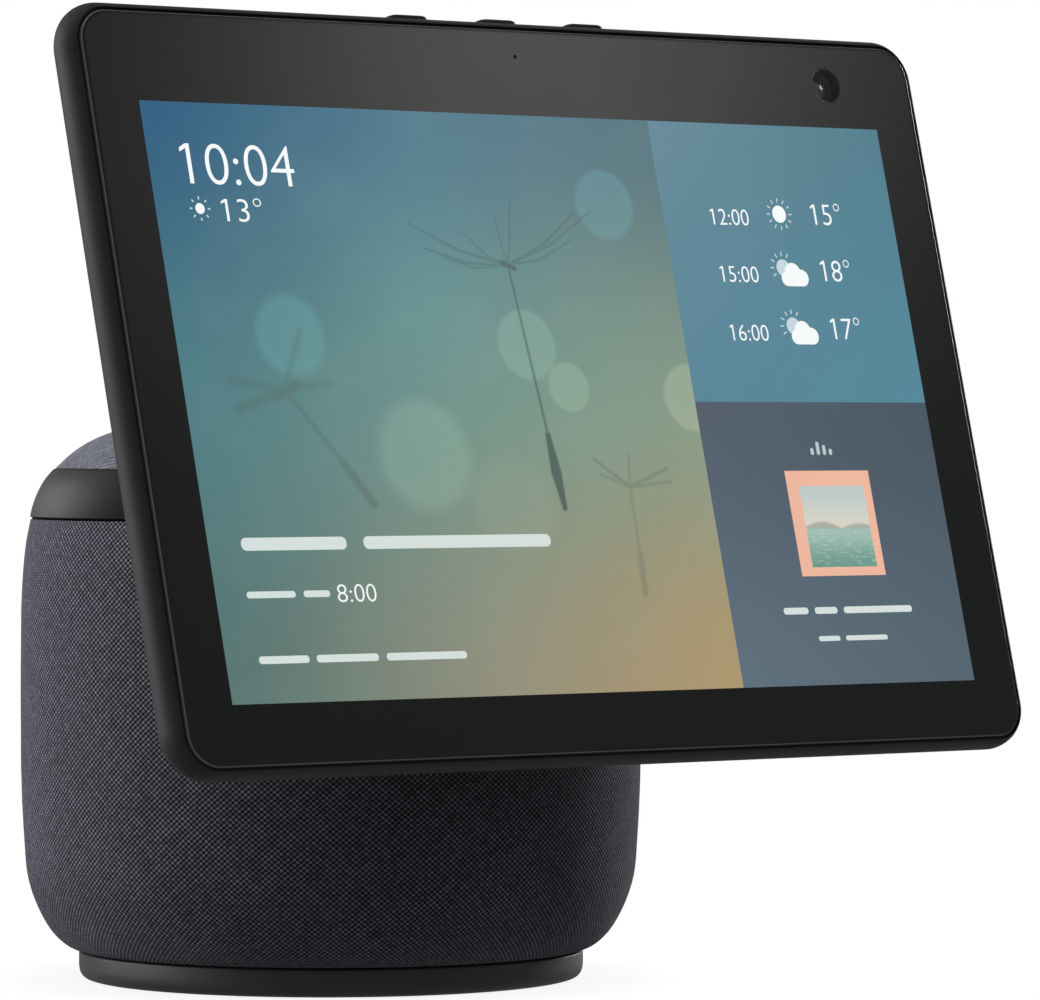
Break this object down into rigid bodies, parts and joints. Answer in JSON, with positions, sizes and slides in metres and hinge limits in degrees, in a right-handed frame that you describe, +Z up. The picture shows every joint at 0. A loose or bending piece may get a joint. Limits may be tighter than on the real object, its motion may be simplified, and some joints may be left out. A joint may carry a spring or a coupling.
{
  "type": "smart display",
  "caption": "Touch display on a tilting arm in front of a round fabric-covered speaker body that turns by motor on a fixed foot, with top buttons and a camera shutter.",
  "frame": {"origin": "on the turning axis at table level, the middle of the underside of the foot pad", "axes": "+Z up, display facing -Y, +X to the viewer's right"},
  "size_m": [0.2492, 0.1856, 0.2254],
  "materials": {
    "case_plastic": "fine matte charcoal moulding",
    "foot_plastic": "satin charcoal moulding",
    "inner_plastic": "black moulded ABS",
    "body_fabric": "fine diagonal woven charcoal polyester",
    "front_glass": "black-printed cover glass, polished edge",
    "screen": null,
    "lens_glass": "coated camera lens",
    "steel": "zinc plated",
    "aluminium": "as machined",
    "gear_nylon": "natural nylon",
    "board": "green solder mask",
    "rubber": "matte black",
    "cone_paper": "coated paper pulp"
  },
  "bodies": {
    "foot": {"foot_base": "foot_plastic", "ballast_plate": "steel", "bottom_cover": "inner_plastic", "foot_pad": "rubber", "power_jack": "inner_plastic", "foot_screw_1": "steel", "foot_screw_2": "steel", "foot_screw_3": "steel", "ring_gear": "gear_nylon", "centre_spindle": "aluminium", "retaining_ring": "steel"},
    "turret": {"turret_base": "inner_plastic", "thrust_bearing": "gear_nylon", "speaker_housing": "inner_plastic", "fabric_sleeve": "body_fabric", "top_chassis": "inner_plastic", "collar_band": "case_plastic", "dome_liner": "inner_plastic", "dome_fabric": "body_fabric", "display_arm": "case_plastic", "arm_screw_1": "steel", "arm_screw_2": "steel", "hinge_pin": "steel", "friction_washer_left": "gear_nylon", "friction_washer_right": "gear_nylon", "woofer_basket": "inner_plastic", "woofer_magnet": "steel", "woofer_surround": "rubber", "tweeter_left": "inner_plastic", "tweeter_right": "inner_plastic", "main_board": "board", "heat_sink": "aluminium", "drive_motor": "steel"},
    "pinion": {"motor_pinion": "gear_nylon"},
    "cone": {"woofer_cone": "cone_paper"},
    "display": {"display_case": "case_plastic", "cover_glass": "front_glass", "lcd_panel": "screen", "backlight_tray": "inner_plastic", "display_board": "board", "board_shield": "steel", "mic_board": "board", "camera_module": "inner_plastic", "camera_lens": "lens_glass", "button_board": "board", "hinge_bracket": "steel", "bracket_screw_1": "steel", "bracket_screw_2": "steel", "bracket_screw_3": "steel", "bracket_screw_4": "steel"},
    "volume_down": {"volume_down_button": "case_plastic"},
    "volume_up": {"volume_up_button": "case_plastic"},
    "mute": {"mute_button": "case_plastic"},
    "shutter": {"shutter_slider": "case_plastic"}
  },
  "joints": [
    {"name": "pan", "type": "hinge", "parent": "foot", "child": "turret", "pos_m": [0, 0, 0], "axis": [0, 0, 1], "range_deg": [-175, 175]},
    {"name": "pinion_spin", "type": "hinge", "parent": "turret", "child": "pinion", "pos_m": [0, 0.033, 0.0103], "axis": [0, 0, 1], "range_deg": [-700, 700]},
    {"name": "tilt", "type": "hinge", "parent": "turret", "child": "display", "pos_m": [0, -0.074, 0.1162], "axis": [-1, 0, 0], "range_deg": [-14.75, 30], "stiffness_Nm_per_rad": 8},
    {"name": "volume_down_press", "type": "slide", "parent": "display", "child": "volume_down", "axis": [0, -0.2546, -0.967], "range_m": [0, 0.0007], "stiffness_N_per_m": 900},
    {"name": "volume_up_press", "type": "slide", "parent": "display", "child": "volume_up", "axis": [0, -0.2546, -0.967], "range_m": [0, 0.0007], "stiffness_N_per_m": 900},
    {"name": "mute_press", "type": "slide", "parent": "display", "child": "mute", "axis": [0, -0.2546, -0.967], "range_m": [0, 0.0007], "stiffness_N_per_m": 900},
    {"name": "shutter_slide", "type": "slide", "parent": "display", "child": "shutter", "axis": [-1, 0, 0], "range_m": [0, 0.007]},
    {"name": "cone_travel", "type": "slide", "parent": "turret", "child": "cone", "axis": [0, -1, 0], "range_m": [-0.0015, 0.0015], "stiffness_N_per_m": 1500}
  ],
  "couplings": [
    {"joint": "pinion_spin", "follows": "pan", "ratio": -4}
  ]
}
